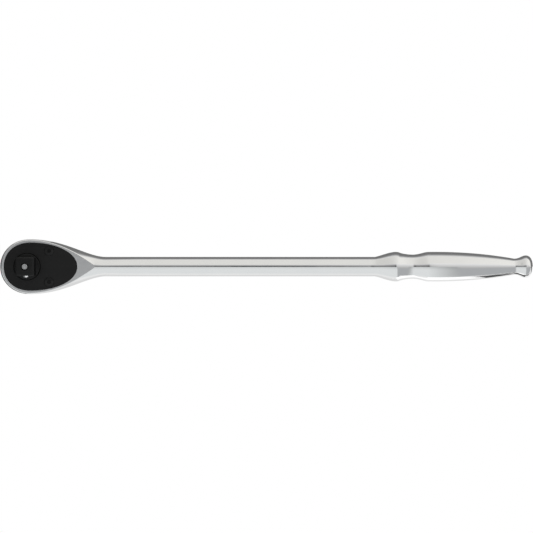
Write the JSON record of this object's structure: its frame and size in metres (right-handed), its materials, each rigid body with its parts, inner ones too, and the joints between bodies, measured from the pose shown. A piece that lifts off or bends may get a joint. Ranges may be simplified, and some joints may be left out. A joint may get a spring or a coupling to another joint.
{
  "type": "ratchet wrench",
  "caption": "Long-handled ratchet wrench: egg-shaped head with a square drive, quick-release button and reversing lever, slim round shank and contoured polished grip.",
  "frame": {"origin": "on the drive axis, in the plane of the drive square's end face, with which the release pin's end is flush", "axes": "+Z along the drive axis, out of the drive square towards the socket; +X from the drive along the handle to the grip; +Y across the head"},
  "size_m": [0.2794, 0.0288, 0.0258],
  "materials": {
    "polished_chrome": "polished chrome plate on forged steel, satin on the head's flat faces",
    "black_cover": "satin black oxide",
    "black_screw": "black oxide",
    "black_drive_steel": "black phosphated alloy steel",
    "black_control": "satin black",
    "bright_steel": "ground bright",
    "spring_steel": "oiled spring steel",
    "seal_rubber": "black nitrile",
    "gasket_fibre": "pressed fibre"
  },
  "bodies": {
    "handle": {"handle_body": "polished_chrome", "cover_plate": "black_cover", "cover_gasket": "gasket_fibre", "cover_screw_upper": "black_screw", "cover_screw_lower": "black_screw", "gear_thrust_washer": "spring_steel", "gear_boss_seal": "seal_rubber", "pawl_pivot_pin": "bright_steel"},
    "drive": {"drive_gear": "black_drive_steel", "release_spring": "spring_steel", "button_retaining_ring": "spring_steel"},
    "release": {"release_button": "black_control", "release_pin": "bright_steel"},
    "detent": {"detent_ball": "bright_steel"},
    "pawl": {"pawl": "spring_steel"},
    "reverser": {"reverse_lever": "black_control", "lever_shaft_seal": "seal_rubber", "lever_retaining_ring": "spring_steel", "plunger_spring": "spring_steel"},
    "plunger": {"pawl_plunger": "bright_steel"}
  },
  "joints": [
    {"name": "drive_spin", "type": "hinge", "parent": "handle", "child": "drive", "pos_m": [0, 0, 0], "axis": [0, 0, 1], "continuous": true},
    {"name": "reverse_lever_turn", "type": "hinge", "parent": "handle", "child": "reverser", "pos_m": [0.0204, 0, 0], "axis": [0, 0, 1], "range_deg": [0, 50]},
    {"name": "pawl_rock", "type": "hinge", "parent": "handle", "child": "pawl", "pos_m": [0.0146, 0, 0], "axis": [0, 0, 1], "range_deg": [-9, 0]},
    {"name": "release_button_push", "type": "slide", "parent": "drive", "child": "release", "axis": [0, 0, 1], "range_m": [0, 0.0018], "stiffness_N_per_m": 1500, "springref_m": -0.001, "deforming": ["release_spring"]},
    {"name": "detent_ball_drop", "type": "slide", "parent": "drive", "child": "detent", "axis": [0, 1, 0], "range_m": [0, 0.00095]},
    {"name": "plunger_push", "type": "slide", "parent": "reverser", "child": "plunger", "axis": [0.9063, -0.4226, 0], "range_m": [0, 0.0005], "stiffness_N_per_m": 400, "springref_m": -0.0005, "deforming": ["plunger_spring"]}
  ],
  "couplings": [
    {"joint": "pawl_rock", "follows": "reverse_lever_turn", "ratio": -0.18},
    {"joint": "detent_ball_drop", "follows": "release_button_push", "ratio": 0.5278}
  ]
}
